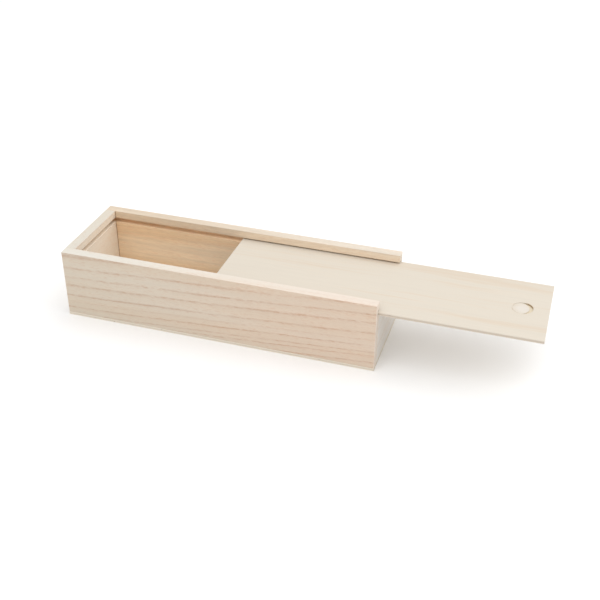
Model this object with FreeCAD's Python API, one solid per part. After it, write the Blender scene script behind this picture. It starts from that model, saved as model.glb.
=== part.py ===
import FreeCAD, Part
import os

# Long wooden toy box with a sliding lid, in millimetres.
# +X runs along the box towards its open end, +Y to the back, +Z up.
# The origin is the centre of the box's footprint, on the face that it rests on.
# The lid is modelled drawn part of the way out of the open end.

# Driving dimensions
box_length = 300.0
box_width = 100.0
frame_height = 65.0          # the four boards, without the bottom panel
side_thickness = 9.5
closed_end_thickness = 9.5
open_end_thickness = 9.5
bottom_thickness = 3.0
arris_radius = 0.4           # easing sanded on the outer edges

# Groove for the lid, cut along both sides and across the closed end
lip_height = 7.2             # wood left above the groove
groove_depth = 5.5

# Sliding lid and its fit in the groove
lid_thickness = 3.0
lid_side_clearance = 0.5     # each side, to the groove's bottom
lid_end_clearance = 1.0      # to the groove's bottom in the closed end
lid_running_gap = 0.15       # under the lid, above the groove's lower face
lid_headroom = 1.45          # over the lid, under the groove's upper face
lid_arris_radius = 0.3
lid_open_at_rest = 140.0     # how far the lid is drawn out in this pose

# Thumb recess in the lid: a shallow round dish with a deeper nail catch
recess_diameter = 18.0
recess_depth = 0.6
recess_from_end = 23.0       # its centre, from the lid's outer end
catch_extra_depth = 0.6      # how much deeper the catch is than the dish
catch_shift = 3.0            # how far the dish's middle is set back from the catch

# Brads that pin the bottom panel up into the boards
brad_shank_diameter = 1.2
brad_length = 14.0
brad_head_diameter = 2.0
brad_head_thickness = 0.6
brad_set_depth = 0.4         # head below the panel's underside
side_brad_count = 4
side_brad_end_distance = 30.0
end_brad_spacing = 40.0

# Heights and places that follow from the sizes above
box_height = bottom_thickness + frame_height
groove_height = lid_thickness + lid_running_gap + lid_headroom
groove_top = box_height - lip_height
groove_floor = groove_top - groove_height
half_length = box_length / 2
half_width = box_width / 2
inner_half_width = half_width - side_thickness
closed_end_face = -half_length + closed_end_thickness
open_end_face = half_length - open_end_thickness
groove_half_width = inner_half_width + groove_depth
groove_end_face = closed_end_face - groove_depth

lid_length = half_length - groove_end_face - lid_end_clearance
lid_half_width = groove_half_width - lid_side_clearance
lid_bottom = groove_floor + lid_running_gap
lid_top = lid_bottom + lid_thickness
lid_outer_end = half_length + lid_open_at_rest
lid_inner_end = lid_outer_end - lid_length
catch_depth = recess_depth + catch_extra_depth

UP = FreeCAD.Vector(0, 0, 1)


def block(x_range, y_range, z_range):
    """A rectangular block between two corners."""
    size = [high - low for low, high in (x_range, y_range, z_range)]
    corner = FreeCAD.Vector(x_range[0], y_range[0], z_range[0])
    return Part.makeBox(*size, corner)


def edges_between(shape, low, high):
    """The edges whose middles lie in the box from low to high."""
    zone = FreeCAD.BoundBox(*low, *high)
    return [edge for edge in shape.Edges if zone.isInside(edge.BoundBox.Center)]


def ease(shape, edges, radius):
    """Round the arrises given, as sanding does."""
    return shape.makeFillet(radius, edges)


def groove_cutter():
    """The flat slot that the lid runs in, open at the open end."""
    return block(
        (groove_end_face, half_length + arris_radius),
        (-groove_half_width, groove_half_width),
        (groove_floor, groove_top),
    )


def brad_places():
    """Centres of the brads, along both sides and across both ends."""
    places = []
    run = box_length - 2 * side_brad_end_distance
    for side in (-1, 1):
        for index in range(side_brad_count):
            x = -run / 2 + index * run / (side_brad_count - 1)
            places.append((x, side * (half_width - side_thickness / 2)))
    for x in (
        -half_length + closed_end_thickness / 2,
        half_length - open_end_thickness / 2,
    ):
        for side in (-1, 1):
            places.append((x, side * end_brad_spacing / 2))
    return places


def brad(x, y):
    """One brad: a plain shank on a small round head."""
    base = FreeCAD.Vector(x, y, brad_set_depth)
    head = Part.makeCylinder(brad_head_diameter / 2, brad_head_thickness, base, UP)
    shank = Part.makeCylinder(brad_shank_diameter / 2, brad_length, base, UP)
    return head.fuse(shank).removeSplitter()


def brad_hole(x, y):
    """The hole that a driven brad leaves, open at the panel's underside."""
    base = FreeCAD.Vector(x, y, 0)
    mouth = Part.makeCylinder(
        brad_head_diameter / 2, brad_set_depth + brad_head_thickness, base, UP
    )
    shaft = Part.makeCylinder(
        brad_shank_diameter / 2, brad_set_depth + brad_length, base, UP
    )
    return mouth.fuse(shaft).removeSplitter()


def pinned(shape):
    """A board or panel with the brads' holes in it."""
    return shape.cut(Part.Compound([brad_hole(x, y) for x, y in brad_places()]))


def side_board(side):
    """A full-length side board, grooved inside; side is -1 front, 1 back."""
    low, high = sorted((side * inner_half_width, side * half_width))
    board = block(
        (-half_length, half_length), (low, high), (bottom_thickness, box_height)
    )
    outer = side * half_width
    margin = 0.01
    outside_edges = edges_between(
        board,
        (-half_length - margin, outer - margin, bottom_thickness + margin),
        (half_length + margin, outer + margin, box_height + margin),
    )
    board = ease(board, outside_edges, arris_radius)
    return pinned(board.cut(groove_cutter()))


def closed_end_board():
    """The full-height end board between the sides, grooved inside."""
    board = block(
        (-half_length, closed_end_face),
        (-inner_half_width, inner_half_width),
        (bottom_thickness, box_height),
    )
    return pinned(board.cut(groove_cutter()))


def open_end_board():
    """The low end board, level with the groove, that the lid slides over."""
    board = block(
        (open_end_face, half_length),
        (-inner_half_width, inner_half_width),
        (bottom_thickness, groove_floor),
    )
    return pinned(board)


def bottom_panel():
    """The thin panel under the four boards, flush with their outside."""
    panel = block(
        (-half_length, half_length), (-half_width, half_width), (0, bottom_thickness)
    )
    upright_edges = [
        edge for edge in panel.Edges if edge.BoundBox.ZLength > bottom_thickness / 2
    ]
    return pinned(ease(panel, upright_edges, arris_radius))


def sliding_lid():
    """The thin lid, with its thumb recess near the outer end."""
    lid = block(
        (lid_inner_end, lid_outer_end),
        (-lid_half_width, lid_half_width),
        (lid_bottom, lid_top),
    )
    upright_edges = [
        edge for edge in lid.Edges if edge.BoundBox.ZLength > lid_thickness / 2
    ]
    lid = ease(lid, upright_edges, lid_arris_radius)
    radius = recess_diameter / 2
    dish_floor = FreeCAD.Vector(lid_outer_end - recess_from_end, 0, lid_top - recess_depth)
    catch_floor = dish_floor - UP * catch_extra_depth
    dish = Part.makeCylinder(radius, recess_depth, dish_floor, UP)
    deep = Part.makeCylinder(radius, catch_depth, catch_floor, UP)
    shallow_part = Part.makeCylinder(
        radius, catch_depth, catch_floor - FreeCAD.Vector(catch_shift, 0, 0), UP
    )
    catch = deep.cut(shallow_part)
    return lid.cut(dish.fuse(catch).removeSplitter())


nodes = {
    "front_side": side_board(-1),
    "back_side": side_board(1),
    "closed_end": closed_end_board(),
    "open_end": open_end_board(),
    "bottom_panel": bottom_panel(),
    "sliding_lid": sliding_lid(),
    "bottom_brads": Part.Compound([brad(x, y) for x, y in brad_places()]),
}

os.makedirs("parts", exist_ok=True)
for name, shape in nodes.items():
    shape.exportStep("parts/" + name + ".step")
    print(name, len(shape.Solids), round(shape.Volume), shape.isValid())
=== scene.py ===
import math

import bmesh
import bpy
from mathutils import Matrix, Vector


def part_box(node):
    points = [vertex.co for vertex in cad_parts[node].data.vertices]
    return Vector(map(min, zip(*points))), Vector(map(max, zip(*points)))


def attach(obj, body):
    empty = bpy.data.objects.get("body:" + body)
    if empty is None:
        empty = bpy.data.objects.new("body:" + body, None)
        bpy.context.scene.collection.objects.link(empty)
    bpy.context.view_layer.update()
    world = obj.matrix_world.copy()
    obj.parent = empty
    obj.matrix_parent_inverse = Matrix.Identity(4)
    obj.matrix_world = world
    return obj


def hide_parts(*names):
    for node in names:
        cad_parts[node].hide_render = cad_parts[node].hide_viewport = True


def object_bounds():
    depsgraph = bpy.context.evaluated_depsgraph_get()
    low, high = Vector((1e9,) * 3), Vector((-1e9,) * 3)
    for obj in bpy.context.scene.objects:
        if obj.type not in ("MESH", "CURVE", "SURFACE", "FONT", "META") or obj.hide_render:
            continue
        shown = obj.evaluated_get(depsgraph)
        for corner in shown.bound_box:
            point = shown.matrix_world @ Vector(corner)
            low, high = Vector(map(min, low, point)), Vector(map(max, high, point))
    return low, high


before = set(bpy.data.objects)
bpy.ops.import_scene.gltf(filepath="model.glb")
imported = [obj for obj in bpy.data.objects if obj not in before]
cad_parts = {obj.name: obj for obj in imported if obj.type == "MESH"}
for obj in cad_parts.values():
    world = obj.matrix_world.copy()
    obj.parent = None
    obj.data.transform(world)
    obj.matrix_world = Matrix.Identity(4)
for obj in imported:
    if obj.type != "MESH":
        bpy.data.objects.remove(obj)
cad_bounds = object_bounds()

MM = 0.001

# Sizes of the box that the frame's boxes give
front_low, front_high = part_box("front_side")
back_low, back_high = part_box("back_side")
closed_low, closed_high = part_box("closed_end")
open_low, open_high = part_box("open_end")
panel_low, panel_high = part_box("bottom_panel")
lid_low, lid_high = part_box("sliding_lid")
brads_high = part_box("bottom_brads")[1]

# Sizes that the boxes can't give, the same as the design's
LIP_HEIGHT = 7.2 * MM
LID_SIDE_CLEARANCE = 0.5 * MM
LID_END_CLEARANCE = 1.0 * MM
LID_DRAWN_OUT = 140 * MM
RECESS_RADIUS = 9 * MM
RECESS_DEPTH = 0.6 * MM
RECESS_FROM_END = 23 * MM
CATCH_EXTRA_DEPTH = 0.6 * MM
CATCH_SHIFT = 3.0 * MM
RECESS_STEPS = 72
CATCH_ARC_STEPS = 30
BRAD_HEAD_RADIUS = 1.0 * MM
BRAD_HOLE_DEPTH = 0.4 * MM
BRAD_MOUTH_STEPS = 20
SIDE_BRAD_SPACING = 80 * MM
END_BRAD_SPACING = 40 * MM

# The groove that the lid runs in
groove_floor = open_high.z
groove_top = front_high.z - LIP_HEIGHT
groove_half_width = lid_high.y + LID_SIDE_CLEARANCE
groove_end = lid_low.x - LID_DRAWN_OUT - LID_END_CLEARANCE

# How round the sanding left the edges
OUTER_EASE = 0.5 * MM
INNER_EASE = 0.22 * MM
JOINT_EASE = 0.12 * MM
PANEL_EASE = 0.25 * MM

# The recess's soft rim: how far each step goes inwards and down
RIM_STEPS = ((0.25 * MM, 0.06 * MM), (0.10 * MM, 0.16 * MM))

# The camera, in degrees, metres and lens millimetres, and how far its aim is
# from the middle of the whole object
CAMERA_AZIMUTH = 17.3
CAMERA_ELEVATION = 32.4
CAMERA_ROLL = 0.4
CAMERA_DISTANCE = 0.90
CAMERA_LENS = 58
CAMERA_SENSOR = 36
CAMERA_AIM_SHIFT = Vector((-0.004, 0, -0.006))

# The studio
FLOOR_HALF_WIDTH = 6
LIGHT_AIM = Vector((0.03, 0, 0.03))
WORLD_STRENGTH = 0.78


# ---------------------------------------------------------------- camera

def place_camera():
    """Looks down on the box from the front, a little from its open end."""
    azimuth, elevation = math.radians(CAMERA_AZIMUTH), math.radians(CAMERA_ELEVATION)
    low, high = cad_bounds
    aim = (low + high) / 2 + CAMERA_AIM_SHIFT
    back = Vector((
        math.sin(azimuth) * math.cos(elevation),
        -math.cos(azimuth) * math.cos(elevation),
        math.sin(elevation),
    ))
    data = bpy.data.cameras.new("camera")
    data.lens = CAMERA_LENS
    data.sensor_width = CAMERA_SENSOR
    data.clip_start, data.clip_end = 0.01, 20
    camera = bpy.data.objects.new("camera", data)
    bpy.context.scene.collection.objects.link(camera)
    camera.location = aim + back * CAMERA_DISTANCE
    camera.rotation_euler = (-back).to_track_quat("-Z", "Y").to_euler()
    camera.rotation_euler.rotate_axis("Z", math.radians(CAMERA_ROLL))
    bpy.context.scene.camera = camera


place_camera()


# ---------------------------------------------------------------- shader tools

class Signal:
    """A shader socket that takes part in sums, products and comparisons."""

    def __init__(self, finish, socket):
        self.finish = finish
        self.socket = socket

    def maths(self, operation, *values):
        """The result of a Math node over the values given."""
        return self.finish.add("ShaderNodeMath", {"operation": operation}, values)

    def __add__(self, other):
        return self.maths("ADD", self, other)

    __radd__ = __add__

    def __sub__(self, other):
        return self.maths("SUBTRACT", self, other)

    def __rsub__(self, other):
        return self.maths("SUBTRACT", other, self)

    def __mul__(self, other):
        return self.maths("MULTIPLY", self, other)

    __rmul__ = __mul__

    def __truediv__(self, other):
        return self.maths("DIVIDE", self, other)

    def __gt__(self, other):
        return self.maths("GREATER_THAN", self, other)

    def hypotenuse(self, other):
        """The length of the diagonal over two sides at right angles."""
        return self.maths("SQRT", self * self + other * other)

    def size(self):
        """The value without its sign."""
        return self.maths("ABSOLUTE", self)

    def rise(self, low, high):
        """0 below low and 1 above high, smooth between them."""
        settings = {"interpolation_type": "SMOOTHSTEP"}
        return self.finish.add("ShaderNodeMapRange", settings, (self, low, high, 0.0, 1.0))


class Finish:
    """One material: its node tree, and the one method that adds a node to it."""

    def __init__(self, name):
        self.material = bpy.data.materials.new(name)
        self.material.use_nodes = True
        self.tree = self.material.node_tree
        self.shader = self.tree.nodes["Principled BSDF"]

    def add(self, kind, settings=None, values=(), named=None, output=0):
        """Adds a node: its settings first, then its sockets by order or by name."""
        node = self.tree.nodes.new(kind)
        for key, value in (settings or {}).items():
            if key == "stops":
                self.set_stops(node.color_ramp, value)
            else:
                setattr(node, key, value)
        for key, value in [*enumerate(values), *(named or {}).items()]:
            self.feed(node.inputs[key], value)
        return Signal(self, node.outputs[output])

    def feed(self, socket, value):
        """Links a signal to a socket, or sets the socket to a plain value."""
        if isinstance(value, Signal):
            self.tree.links.new(value.socket, socket)
        elif socket.type == "VECTOR":
            socket.default_value = value[:3]
        else:
            socket.default_value = value

    def set_stops(self, ramp, stops):
        """Stops are pairs of a place from 0 to 1 and a grey level."""
        while len(ramp.elements) > 1:
            ramp.elements.remove(ramp.elements[-1])
        for index, (place, level) in enumerate(stops):
            stop = ramp.elements[0] if index == 0 else ramp.elements.new(place)
            stop.position = place
            stop.color = (level, level, level, 1)

    def place_in_mm(self):
        """Where the point is in the frame, as three values in millimetres."""
        place = self.add("ShaderNodeTexCoord", output=3)
        scaled = self.tint(place, 1 / MM)
        axes = self.add("ShaderNodeSeparateXYZ", values=(scaled,))
        outputs = axes.socket.node.outputs
        return [Signal(self, outputs[index]) for index in range(3)]

    def noise(self, x, y, z, detail=2.0, roughness=0.5, seed=0.0):
        """Soft noise of about -0.5 to 0.5 over three coordinates."""
        vector = self.add("ShaderNodeCombineXYZ", values=(x, y, z))
        noise = self.add(
            "ShaderNodeTexNoise",
            {"noise_dimensions": "4D"},
            named={
                "Vector": vector, "W": seed, "Scale": 1.0,
                "Detail": detail, "Roughness": roughness,
            },
        )
        return noise - 0.5

    def blend(self, amount, first, second, kind="MIX"):
        """Mixes two colours."""
        settings = {"data_type": "RGBA", "blend_type": kind, "clamp_factor": True}
        return self.add(
            "ShaderNodeMix", settings, named={0: amount, 6: first, 7: second}, output=2
        )

    def tint(self, colour, level):
        """A colour or a vector times a value, such as a tone around 1."""
        return self.add(
            "ShaderNodeVectorMath", {"operation": "SCALE"}, (colour,), {"Scale": level}
        )

    def bump(self, height, distance):
        """The surface normal over a height, where 1 is distance metres high."""
        return self.add(
            "ShaderNodeBump", named={"Height": height, "Distance": distance, "Strength": 1.0}
        )

    def show(self, **sockets):
        """Feeds the surface shader's sockets, named with _ for each space."""
        for key, value in sockets.items():
            self.feed(self.shader.inputs[key.replace("_", " ")], value)
        return self.material


def srgb(red, green, blue):
    """A colour given by its screen values from 0 to 255."""
    def linear(level):
        level /= 255
        return level / 12.92 if level <= 0.04045 else ((level + 0.055) / 1.055) ** 2.4

    return (linear(red), linear(green), linear(blue), 1.0)


# ---------------------------------------------------------------- wood

LATE_WOOD = (0.88, 0.785, 0.74, 1.0)
DASH_TINT = (0.955, 0.885, 0.85, 1.0)
WARM_BAND = (0.965, 0.905, 0.835, 1.0)
WARM_ZONE = (0.93, 0.85, 0.75, 1.0)
VENEER_STREAK = (0.965, 0.915, 0.87, 1.0)
FRESH_CUT = (1.06, 1.085, 1.16, 1.0)
# Painted shade: the thin dark line in the inside corner where an end board meets a side board.
CORNER_SHADE = srgb(150, 112, 80)
KNOT = srgb(176, 140, 104)
# Painted shade on two quarters of the lid recess's rim.
RIM_SHADE = srgb(160, 132, 96)

# Sizes that the finishes work with, in millimetres
BOARD_TOP = 68.0
RING_MARGIN = 14
FACE_PLY = 0.75


def ring_radii(pith, face, rings):
    """How far from the tree's middle each ring lies, where it meets a face."""
    return [math.hypot(face - pith[0], height - pith[1]) for height, _ in rings]


def growth_rings(finish, radius, radii, strengths):
    """Growth rings over a radius: a thin dark line at each one, with a soft tail."""
    order = sorted(zip(radii, strengths))
    nearest, farthest = order[0][0] - RING_MARGIN, order[-1][0] + RING_MARGIN
    order = [(nearest, 0.0), *order, (farthest, 0.0)]
    span = farthest - nearest
    place = (radius - nearest) / span
    last = len(order) - 1
    counts = [((ring - nearest) / span, index / last) for index, (ring, _) in enumerate(order)]
    depths = [((ring - nearest) / span, depth) for ring, depth in order]
    count = finish.add("ShaderNodeValToRGB", {"stops": counts}, (place,)) * last
    depth = finish.add("ShaderNodeValToRGB", {"stops": depths}, (place,))
    since = count.maths("FRACT", count + 0.5) - 0.5
    before = since.rise(-0.15, 0.0)
    after = 1 - since.rise(0.03, 0.20)
    tail = (1 - since.rise(0.0, 0.5)) * (since > 0) * 0.25
    line = before * after
    return line.maths("MAXIMUM", line, tail) * depth


def board_wood(name, grain, face, pith, rings, drift, pale, far, seed, top,
               painted_light_tint, reach=150, zones=((0.0, 0.0),), grain_depth=1.0, corner_shade_at=0.0,
               outer=None, knots=()):
    """Bare sanded wood with its growth rings cut by the board's faces.

    grain names the axis that the fibres run along. Across it, pith is where
    the tree's middle lies, and rings are pairs of a dark line's height on the
    face at the board's middle and how dark it is, all in millimetres. drift is
    how far the rings climb along the board, as a straight and a squared term.
    The board's tone goes from pale to far along it, and reach is half its
    length. zones are pairs of a height and how warm the wood is there.
    painted_light_tint is painted light and shade: it tints the top edge at the
    height top, which is in metres as outer is, and the board's ends, so that
    they are lighter or darker than the other faces; the rings are fainter
    there too. grain_depth is how strong the streaks between the rings are, and
    corner_shade_at is where along the board's face an end board meets it,
    where a thin dark line of painted corner shade goes. outer is the board's
    outer face, when that gets the same painted tint as the top edge, and then
    the lip above the groove gets half of it. knots are pairs of a small knot's
    middle and its radius.
    """
    finish = Finish(name)
    x, y, z = finish.place_in_mm()
    along, flat, up = (x, y, z) if grain == "X" else (y, x, z)

    wander = finish.noise(along / 90, flat / 40, up / 34, detail=1.0, seed=seed)
    ripple = finish.noise(along / 9, flat / 3, up / 3, detail=3.0, roughness=0.6, seed=seed + 3.1)
    climb = along * drift[0] + along * along * drift[1]
    radius = (flat - pith[0]).hypotenuse(up - pith[1] - climb)
    radius = radius + wander * 1.5 + ripple * 0.9
    ring = growth_rings(finish, radius, ring_radii(pith, face, rings), [r[1] for r in rings])
    broken = finish.noise(along / 5, flat / 1.1, up / 1.1, detail=2.0, seed=seed + 5.7)
    patch = finish.noise(along / 50, flat / 9, up / 6, detail=1.0, seed=seed + 6.3)
    ring = ring * (0.70 + broken * 3.2 + patch * 1.5)

    top_edge = up.rise(top / MM - 0.3, top / MM - 0.1)
    board_ends = along.size().rise(reach - 0.4, reach - 0.1)
    # Painted light and shade: the top edge, the ends and, with an outer face given, that face and
    # half the lip are marked for a tint that makes them lighter or darker than the other faces; the
    # rings are fainter there too.
    faint_rings_and_painted_light = top_edge.maths("MAXIMUM", top_edge, board_ends)
    if outer:
        lip = up.rise(groove_top / MM - 0.5, groove_top / MM + 0.5) * 0.5
        faint_rings_and_painted_light = faint_rings_and_painted_light.maths("MAXIMUM", faint_rings_and_painted_light, 1 - (flat - outer / MM).size().rise(0.1, 0.4))
        faint_rings_and_painted_light = faint_rings_and_painted_light.maths("MAXIMUM", faint_rings_and_painted_light, lip)
    ring = ring * (1 - faint_rings_and_painted_light * 0.7)

    fibre = finish.noise(along / 11, flat / 0.5, up / 0.5, detail=3.0, seed=seed + 7.9)
    streak = finish.noise(along / 60, flat / 2.6, up / 2.6, detail=2.0, seed=seed + 9.2)
    band = finish.noise(along / 220, flat / 15, up / 15, detail=1.0, seed=seed + 11.4)
    dash_field = finish.noise(along / 4.5, flat / 0.6, up / 0.6, detail=2.0, seed=seed + 12.1)
    dash = (dash_field + streak * 0.35 + ring * 0.10).rise(0.03, 0.2)
    pore_field = finish.noise(along / 2.4, flat / 0.22, up / 0.22, detail=1.0, seed=seed + 13.0)
    pores = (pore_field + ring * 0.08).rise(0.17, 0.26)

    tone = finish.blend((along + band * 60).rise(-reach, reach), pale, far)
    heights = [(height / BOARD_TOP, level) for height, level in zones]
    zone = finish.add(
        "ShaderNodeValToRGB", {"stops": heights}, ((up - climb + band * 14) / BOARD_TOP,)
    )
    warm = band.rise(-0.28, 0.28) * 0.6
    wood = finish.blend(warm, tone, WARM_BAND, "MULTIPLY")
    wood = finish.blend(zone, wood, WARM_ZONE, "MULTIPLY")
    wood = finish.blend(dash, wood, DASH_TINT, "MULTIPLY")
    wood = finish.blend(ring, wood, LATE_WOOD, "MULTIPLY")
    # Painted light and shade: the tint on the top edge, ends, outer face and lip.
    wood = finish.blend(faint_rings_and_painted_light, wood, painted_light_tint, "MULTIPLY")
    grain_tone = (fibre * 0.10 + streak * 0.10) * grain_depth - pores * 0.10
    wood = finish.tint(wood, 1 + grain_tone)
    # Painted shade: a thin dark line along the inside corner where the end board meets this face.
    if corner_shade_at:
        off_corner_shade = (along - corner_shade_at - 0.1).size() + (flat - face).size() + broken * 1.1
        wood = finish.blend((1 - off_corner_shade.rise(0.1, 0.65)) * (1 - top_edge), wood, CORNER_SHADE)

    for middle, radius in knots:
        across = (x - middle.x).hypotenuse(y - middle.y).hypotenuse((z - middle.z) * 0.5)
        knot = 1 - (across + broken * radius * 1.5).rise(radius * 0.4, radius)
        wood = finish.blend(knot * 0.75, wood, KNOT)

    height = fibre * 0.5 - pores * 0.9 - ring * 0.3 - dash * 0.3
    return finish.show(
        Base_Color=wood,
        Roughness=0.62 + fibre * 0.12 + pores * 0.1,
        Normal=finish.bump(height, 0.045 * MM),
        Specular_IOR_Level=0.3,
    )


def plywood(name, low, high, streaks, pale, core, edge, seed, recess=None):
    """Thin three-ply panel: face plies along the box and a core across it.

    low and high are the panel's two corners, edge is the sawn edges' tone, and
    recess is the middle of a round recess, whose floor is freshly cut and paler
    and whose rim has a thin dark arc of painted shade on two opposite quarters.
    """
    finish = Finish(name)
    x, y, z = finish.place_in_mm()

    ripple = finish.noise(x / 60, y / 12, z / 12, detail=2.0, seed=seed)
    across = y + ripple * 7
    fibre = finish.noise(x / 14, y / 0.55, z / 0.55, detail=3.0, seed=seed + 2.3)
    streak = finish.noise(x / 130, across / 4.5, 0.0, detail=3.0, seed=seed + 4.4)
    band = finish.noise(x / 300, across / 24, 0.0, detail=1.0, seed=seed + 6.1)
    pore_field = finish.noise(x / 2.2, y / 0.22, z / 0.22, detail=1.0, seed=seed + 8.8)
    pores = pore_field.rise(0.2, 0.3)
    streaky = (streak * 1.6 + band).rise(0.02, 0.5) * streaks
    veneer = finish.blend(streaky, pale, VENEER_STREAK, "MULTIPLY")
    veneer = finish.tint(veneer, 1 + fibre * 0.06 + streak * 0.10 - pores * 0.07)

    core_fibre = finish.noise(x / 0.6, y / 9, z / 0.35, detail=3.0, seed=seed + 10.5)
    core_pores = finish.noise(x / 0.7, y / 5, z / 0.5, detail=1.0, seed=seed + 12.2).rise(0.14, 0.3)
    gap_field = finish.noise(x / 7, y / 60, z / 1.6, detail=2.0, seed=seed + 14.9)
    gaps = gap_field.rise(0.17, 0.22)
    middle, half = (low + high) / 2 / MM, (high - low) / 2 / MM
    side_edge = (y - middle.y).size().rise(half.y - 0.3, half.y - 0.1)
    end_edge = (x - middle.x).size().rise(half.x - 0.3, half.x - 0.1)
    sawn = side_edge.maths("MAXIMUM", side_edge, end_edge)
    heart = finish.blend(sawn, core, edge)
    heart = finish.tint(heart, 1 + core_fibre * 0.13 - core_pores * 0.25 * sawn)
    heart = finish.blend(gaps * sawn, heart, srgb(120, 96, 70))

    inside = (half.z - FACE_PLY - (z - middle.z).size()).rise(-0.05, 0.05)
    wood = finish.blend(inside, veneer, heart)
    if recess:
        out = x - recess.x / MM
        level = z - middle.z
        floor_level = half.z - RECESS_DEPTH / MM
        dish = level.rise(floor_level - 0.4, floor_level - 0.1)
        dish = dish * (1 - level.rise(floor_level + 0.1, floor_level + 0.3))
        radius = RECESS_RADIUS / MM
        dish = dish * (1 - out.hypotenuse(y).rise(radius * 0.3, radius))
        patchy = (0.8 + streak * 1.2 + fibre * 0.5) * dish
        wood = finish.blend(patchy, wood, FRESH_CUT, "MULTIPLY")
        # Painted shade: a thin dark arc on two opposite quarters of the recess rim, where its wall
        # lies in shade.
        off_rim = (out.hypotenuse(y) - radius - 0.1).size() + fibre * 0.4
        shaded_quarters = (out * y).rise(6, 38) * (z - middle.z).rise(0.0, 0.2)
        wood = finish.blend((1 - off_rim.rise(0.15, 0.5)) * shaded_quarters * 0.8, wood, RIM_SHADE)
    height = fibre * 0.4 - pores * 0.6 - inside * sawn * (core_pores * 0.8 + gaps * 3)
    return finish.show(
        Base_Color=wood,
        Roughness=0.6 + fibre * 0.1,
        Normal=finish.bump(height, 0.04 * MM),
        Specular_IOR_Level=0.3,
    )


def steel():
    """Plain steel of the brads' heads."""
    finish = Finish("brad_steel")
    x, y, z = finish.place_in_mm()
    scratch = finish.noise(x / 0.15, y / 1.2, z, detail=3.0)
    dull = finish.noise(x / 0.8, y / 0.8, z, detail=2.0, seed=2.0)
    colour = finish.tint(srgb(176, 174, 170), 1 + dull * 0.3)
    return finish.show(
        Base_Color=colour, Roughness=0.38 + scratch * 0.25 + dull * 0.2,
        Normal=finish.bump(scratch, 0.01 * MM), Metallic=1.0,
    )


front_wood = board_wood(
    "front_board_wood", "X", face=-50, pith=(64, 113), seed=1.0,
    rings=(
        (71.7, 0.8), (59.4, 0.85), (49.5, 1.0), (41.0, 1.0), (29.8, 1.1),
        (22.9, 0.35), (16.8, 1.0), (9.7, 1.0), (5.9, 0.9), (-1.0, 1.2), (-7.0, 1.0),
    ),
    drift=(0.0585, 0.00006), pale=srgb(207, 196, 180), far=srgb(214, 196, 178),
    top=front_high.z, painted_light_tint=(1.12, 1.22, 1.34, 1.0),
)
# The back board's tone is darker at its closed end as painted shade from the corner there.
back_wood = board_wood(
    "back_board_wood", "X", face=40.5, pith=(-70, 150), seed=21.0,
    rings=(
        (86, 0.3), (75, 0.4), (64, 0.3), (56, 0.25), (49, 0.35), (38, 0.1), (27, 0.15),
        (19, 0.25), (12, 0.35), (6, 0.4), (0, 0.4), (-7, 0.4),
    ),
    drift=(0.03, 0.00002), pale=srgb(243, 220, 190), far=srgb(252, 235, 212),
    zones=((0.0, 1.0), (14.0, 1.0), (24.0, 0.0), (43.0, 0.0), (52.0, 0.9), (68.0, 0.5)),
    top=back_high.z, painted_light_tint=(0.77, 0.86, 1.0, 1.0), corner_shade_at=closed_high.x / MM,
    grain_depth=3.4, outer=back_high.y,
)
closed_end_wood = board_wood(
    "closed_end_wood", "Y", face=-140.5, pith=(-40, 150), seed=41.0,
    rings=((80, 0.2), (68, 0.3), (57, 0.1), (45, 0.1), (33, 0.1), (22, 0.1), (10, 0.1), (-3, 0.1)),
    drift=(0.02, 0.0), pale=srgb(243, 234, 220), far=srgb(243, 232, 216), reach=50,
    top=closed_high.z, painted_light_tint=(0.74, 0.775, 0.80, 1.0),
)
open_end_wood = board_wood(
    "open_end_wood", "Y", face=150, pith=(40, -60), seed=61.0,
    rings=((-6, 0.3), (4, 0.3), (12, 0.3), (21, 0.3), (29, 0.2), (38, 0.3), (47, 0.3), (58, 0.3)),
    drift=(0.03, 0.0), pale=srgb(225, 222, 217), far=srgb(222, 219, 214), reach=50,
    top=open_high.z, painted_light_tint=(0.95, 0.92, 0.86, 1.0),
    knots=((Vector((148.6, -11.0, 56.2)), 1.2),),
)
lid_wood = plywood(
    "lid_plywood", lid_low, lid_high, 1.4, pale=srgb(211, 202, 188),
    core=srgb(212, 199, 175), edge=srgb(196, 182, 166), seed=3.0,
    recess=Vector((lid_high.x - RECESS_FROM_END, 0, 0)),
)
bottom_wood = plywood(
    "bottom_plywood", panel_low, panel_high, 1.0, pale=srgb(228, 218, 202),
    core=srgb(214, 203, 186), edge=srgb(212, 202, 186), seed=33.0,
)
brad_steel = steel()


# ---------------------------------------------------------------- modelling tools

def draw_out(mesh, faces, travel):
    """Draws faces out in a straight line, and gives the faces at its end."""
    drawn = bmesh.ops.extrude_face_region(mesh, geom=faces)["geom"]
    moved = [item for item in drawn if isinstance(item, bmesh.types.BMVert)]
    bmesh.ops.translate(mesh, verts=moved, vec=travel)
    return [item for item in drawn if isinstance(item, bmesh.types.BMFace)]


def outline_solid(profile, low, high):
    """A closed solid: an outline of x and z, drawn out from the front to the back."""
    mesh = bmesh.new()
    outline = mesh.faces.new([mesh.verts.new((x, low.y, z)) for x, z in profile])
    draw_out(mesh, [outline], Vector((0, high.y - low.y, 0)))
    bmesh.ops.recalc_face_normals(mesh, faces=mesh.faces)
    return mesh


def ease(mesh, edges, radius, segments=2):
    """Rounds the edges given, as sanding does."""
    bmesh.ops.bevel(
        mesh, geom=edges, offset=radius, offset_type="OFFSET", segments=segments,
        profile=0.5, affect="EDGES", clamp_overlap=True, material=-1,
    )


def edges_where(mesh, test):
    """The edges whose two ends both pass a test."""
    return [edge for edge in mesh.edges if all(test(vert.co) for vert in edge.verts)]


def edges_along_y(edges):
    """The edges that run from the front side to the back one."""
    return [edge for edge in edges if abs(edge.verts[0].co.y - edge.verts[1].co.y) > MM]


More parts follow.
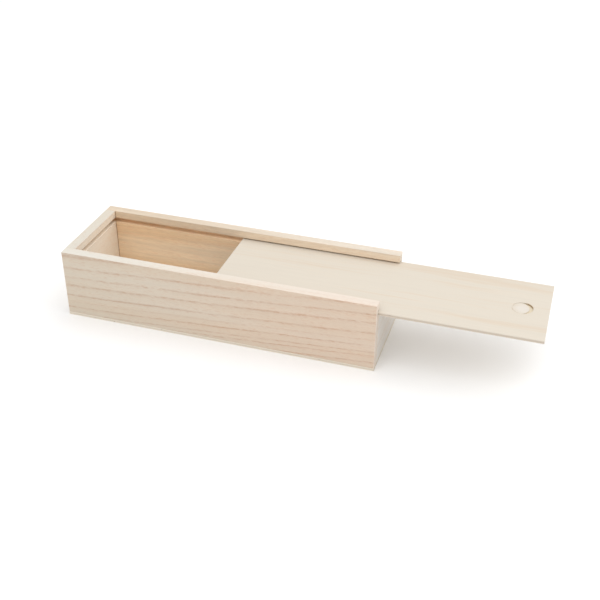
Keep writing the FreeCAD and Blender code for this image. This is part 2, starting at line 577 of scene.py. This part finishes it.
def sharp_edges(mesh):
    """The edges where two faces meet at a corner."""
    return [
        edge for edge in mesh.edges
        if len(edge.link_faces) == 2 and edge.calc_face_angle() > math.radians(60)
    ]


def near(value, target):
    """Whether two lengths are the same."""
    return abs(value - target) < 0.01 * MM


def finished_piece(name, mesh, material, body, node):
    """Turns a bmesh into a piece that stands for a node of the frame."""
    bmesh.ops.remove_doubles(mesh, verts=mesh.verts, dist=0.0005 * MM)
    bmesh.ops.recalc_face_normals(mesh, faces=mesh.faces)
    data = bpy.data.meshes.new(name)
    mesh.to_mesh(data)
    mesh.free()
    data.materials.append(material)
    piece = bpy.data.objects.new(name, data)
    bpy.context.scene.collection.objects.link(piece)
    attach(piece, body)
    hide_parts(node)


# ---------------------------------------------------------------- boards

def side_board(name, low, high, side, material, node):
    """A full-length side board, its groove stopped short of the closed end."""
    outer = high.y if side > 0 else low.y
    inner = low.y if side > 0 else high.y
    groove = side * groove_half_width
    profile = [
        (outer, low.z), (inner, low.z), (inner, groove_floor), (groove, groove_floor),
        (groove, groove_top), (inner, groove_top), (inner, high.z), (outer, high.z),
    ]
    mesh = bmesh.new()
    corners = [mesh.verts.new((low.x, y, z)) for y, z in profile]
    grooved_part = mesh.faces.new(corners)
    groove_part = mesh.faces.new(corners[5:1:-1])
    ends = draw_out(mesh, [grooved_part, groove_part], Vector((groove_end - low.x, 0, 0)))
    grooved_end = max(ends, key=lambda face: len(face.verts))
    draw_out(mesh, [grooved_end], Vector((high.x - groove_end, 0, 0)))
    bmesh.ops.delete(mesh, geom=[grooved_end], context="FACES_ONLY")
    bmesh.ops.recalc_face_normals(mesh, faces=mesh.faces)
    bmesh.ops.dissolve_limit(
        mesh, angle_limit=math.radians(1), verts=mesh.verts, edges=mesh.edges
    )

    ease(mesh, edges_where(mesh, lambda place: near(place.y, outer)), OUTER_EASE, 3)
    ease(mesh, sharp_edges(mesh), INNER_EASE)
    finished_piece(name, mesh, material, "box", node)


def closed_end_board():
    """The full-height end board, with the groove across its inner face."""
    low, high = closed_low, closed_high
    profile = [
        (low.x, low.z), (high.x, low.z), (high.x, groove_floor), (groove_end, groove_floor),
        (groove_end, groove_top), (high.x, groove_top), (high.x, high.z), (low.x, high.z),
    ]
    mesh = outline_solid(profile, low, high)
    inner = edges_where(mesh, lambda place: place.z > low.z + MM and place.x > low.x + MM)
    ease(mesh, edges_along_y(inner), INNER_EASE)
    ease(mesh, sharp_edges(mesh), JOINT_EASE)
    finished_piece(
        "closed_end_board", mesh, closed_end_wood, "box", "closed_end"
    )


def open_end_board():
    """The low end board that the lid slides over."""
    low, high = open_low, open_high
    profile = [(low.x, low.z), (high.x, low.z), (high.x, high.z), (low.x, high.z)]
    mesh = outline_solid(profile, low, high)
    top = edges_where(mesh, lambda place: near(place.z, high.z))
    ease(mesh, edges_along_y(top), PANEL_EASE, 3)
    ease(mesh, sharp_edges(mesh), JOINT_EASE)
    finished_piece(
        "open_end_board", mesh, open_end_wood, "box", "open_end"
    )


side_board("front_side_board", front_low, front_high, -1, front_wood, "front_side")
side_board("back_side_board", back_low, back_high, 1, back_wood, "back_side")
closed_end_board()
open_end_board()


# ---------------------------------------------------------------- panels

def ring_of_edges(mesh, centre, radius, steps):
    """A circle of edges, level, round a centre."""
    circle = bmesh.ops.create_circle(mesh, segments=steps, radius=radius)
    bmesh.ops.translate(mesh, verts=circle["verts"], vec=centre)
    edges = [edge for vert in circle["verts"] for edge in vert.link_edges]
    return list(dict.fromkeys(edges))


def draw_loop(mesh, edges):
    """Draws out a loop of edges, not yet moved, and gives its new corners and edges."""
    drawn = bmesh.ops.extrude_edge_only(mesh, edges=edges)["geom"]
    verts = [item for item in drawn if isinstance(item, bmesh.types.BMVert)]
    return verts, [item for item in drawn if isinstance(item, bmesh.types.BMEdge)]


def lower(mesh, edges, depth):
    """Draws a loop of edges down into a wall and gives the new loop."""
    verts, loop = draw_loop(mesh, edges)
    bmesh.ops.translate(mesh, verts=verts, vec=(0, 0, -depth))
    return loop


def narrow(mesh, edges, centre, change, depth):
    """Draws a round loop inwards and down, as a soft rim, and gives the new loop."""
    verts, loop = draw_loop(mesh, edges)
    for vert in verts:
        outward = vert.co - centre
        outward.z = 0
        vert.co -= outward.normalized() * change
        vert.co.z -= depth
    return loop


def on_outline(place, low, high):
    """Whether a point is on one of a panel's four sides."""
    return near(abs(place.y), high.y) or near(place.x, low.x) or near(place.x, high.x)


def ease_outline(mesh, low, high):
    """Eases the edges along a panel's four sides."""
    outline = edges_where(mesh, lambda place: on_outline(place, low, high))
    sharp = set(sharp_edges(mesh))
    ease(mesh, [edge for edge in outline if edge in sharp], PANEL_EASE)


def rectangle(mesh, low, high, level):
    """A level rectangle of four edges."""
    corners = ((low.x, low.y), (high.x, low.y), (high.x, high.y), (low.x, high.y))
    verts = [mesh.verts.new((x, y, level)) for x, y in corners]
    return [mesh.edges.new((verts[index - 1], verts[index])) for index in range(4)]


def cut_recess(mesh, rim, centre):
    """Closes the round hole in the lid's top with a dish and a deeper catch."""
    for inwards, down in RIM_STEPS:
        rim = narrow(mesh, rim, centre, inwards, down)
    lower(mesh, rim, RECESS_DEPTH - sum(down for _, down in RIM_STEPS))

    # The catch: the part of the dish outside a second circle that is set back
    step_angle = math.tau / RECESS_STEPS
    catch_steps = round(math.acos(-CATCH_SHIFT / (2 * RECESS_RADIUS)) / step_angle)
    catch_angle = catch_steps * step_angle
    set_back = -2 * RECESS_RADIUS * math.cos(catch_angle)
    dish_floor = centre - Vector((0, 0, RECESS_DEPTH))
    start = mesh.verts.new(
        dish_floor + RECESS_RADIUS * Vector((math.cos(catch_angle), math.sin(catch_angle), 0))
    )
    bmesh.ops.spin(
        mesh, geom=[start], cent=centre - Vector((set_back, 0, 0)), axis=(0, 0, -1),
        angle=2 * (math.pi - catch_angle), steps=CATCH_ARC_STEPS,
    )
    bmesh.ops.remove_doubles(mesh, verts=mesh.verts, dist=0.02 * MM)

    dish_rim, catch_rim, step_arc = [], [], []
    for edge in edges_where(mesh, lambda place: near(place.z, dish_floor.z)):
        point = (edge.verts[0].co + edge.verts[1].co) / 2
        if point.x < centre.x - set_back / 2:
            dish_rim.append(edge)
        elif (point - dish_floor).length > RECESS_RADIUS - 0.05 * MM:
            catch_rim.append(edge)
        else:
            step_arc.append(edge)
    bmesh.ops.triangle_fill(
        mesh, edges=dish_rim + step_arc, normal=(0, 0, 1), use_beauty=True
    )
    catch_floor = lower(mesh, catch_rim + step_arc, CATCH_EXTRA_DEPTH)
    bmesh.ops.triangle_fill(mesh, edges=catch_floor, normal=(0, 0, 1), use_beauty=True)


def sliding_lid():
    """The thin lid, with its thumb recess near the outer end."""
    mesh = bmesh.new()
    low, high = lid_low, lid_high
    centre = Vector((high.x - RECESS_FROM_END, 0, high.z))
    rim_radius = RECESS_RADIUS + sum(inwards for inwards, _ in RIM_STEPS)
    outline = rectangle(mesh, low, high, high.z)
    rim = ring_of_edges(mesh, centre, rim_radius, RECESS_STEPS)
    bmesh.ops.triangle_fill(mesh, edges=outline + rim, normal=(0, 0, 1), use_beauty=True)
    cut_recess(mesh, rim, centre)

    top_outline = [
        edge for edge in edges_where(mesh, lambda place: on_outline(place, low, high))
        if len(edge.link_faces) == 1
    ]
    bmesh.ops.edgeloop_fill(mesh, edges=lower(mesh, top_outline, high.z - low.z))
    bmesh.ops.recalc_face_normals(mesh, faces=mesh.faces)
    ease_outline(mesh, low, high)
    finished_piece("lid_panel", mesh, lid_wood, "lid", "sliding_lid")


def brad_places():
    """Middles of the brads' mouths, along both sides and across both ends."""
    level = panel_low.z
    side_row = brads_high.y - BRAD_HEAD_RADIUS
    end_row = brads_high.x - BRAD_HEAD_RADIUS
    places = []
    for side in (-1, 1):
        for step in (-1.5, -0.5, 0.5, 1.5):
            places.append(Vector((step * SIDE_BRAD_SPACING, side * side_row, level)))
        for step in (-0.5, 0.5):
            places.append(Vector((side * end_row, step * END_BRAD_SPACING, level)))
    return places


def bottom_panel():
    """The panel under the boards, with the brads' small round mouths."""
    mesh = bmesh.new()
    low, high = panel_low, panel_high
    outline = rectangle(mesh, low, high, low.z)
    mouths = [
        ring_of_edges(mesh, place, BRAD_HEAD_RADIUS, BRAD_MOUTH_STEPS) for place in brad_places()
    ]
    bmesh.ops.triangle_fill(
        mesh, edges=sum(mouths, outline), normal=(0, 0, -1), use_beauty=True
    )
    for mouth in mouths:
        bmesh.ops.edgeloop_fill(mesh, edges=lower(mesh, mouth, -BRAD_HOLE_DEPTH))
    bmesh.ops.edgeloop_fill(mesh, edges=lower(mesh, outline, low.z - high.z))
    bmesh.ops.recalc_face_normals(mesh, faces=mesh.faces)
    ease_outline(mesh, low, high)
    finished_piece(
        "bottom_panel_ply", mesh, bottom_wood, "box", "bottom_panel"
    )


sliding_lid()
bottom_panel()
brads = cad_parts["bottom_brads"]
brads.data.materials.clear()
brads.data.materials.append(brad_steel)


# ---------------------------------------------------------------- studio

def floor():
    """A plain pale floor."""
    mesh = bmesh.new()
    bmesh.ops.create_grid(mesh, x_segments=1, y_segments=1, size=FLOOR_HALF_WIDTH)
    data = bpy.data.meshes.new("floor")
    mesh.to_mesh(data)
    mesh.free()
    finish = Finish("floor_white")
    finish.show(Base_Color=(0.93, 0.93, 0.93, 1.0), Roughness=0.9, Specular_IOR_Level=0.0)
    data.materials.append(finish.material)
    piece = bpy.data.objects.new("floor", data)
    bpy.context.scene.collection.objects.link(piece)


def soft_light(name, place, size, power):
    """A square soft box that faces the object."""
    data = bpy.data.lights.new(name, "AREA")
    data.shape = "SQUARE"
    data.size = size
    data.energy = power
    light = bpy.data.objects.new(name, data)
    bpy.context.scene.collection.objects.link(light)
    light.location = place
    light.rotation_euler = (LIGHT_AIM - Vector(place)).to_track_quat("-Z", "Y").to_euler()


def studio():
    """Even light from all round, and two large soft boxes."""
    world = bpy.data.worlds.new("studio")
    bpy.context.scene.world = world
    world.use_nodes = True
    background = world.node_tree.nodes["Background"]
    background.inputs["Color"].default_value = (1, 1, 1, 1)
    background.inputs["Strength"].default_value = WORLD_STRENGTH
    soft_light("key", place=(1.6, 0.8, 2.4), size=3.4, power=43)
    soft_light("front", place=(-0.2, -1.5, 2.5), size=2.4, power=24)
    bpy.context.scene.view_settings.view_transform = "Standard"


floor()
studio()
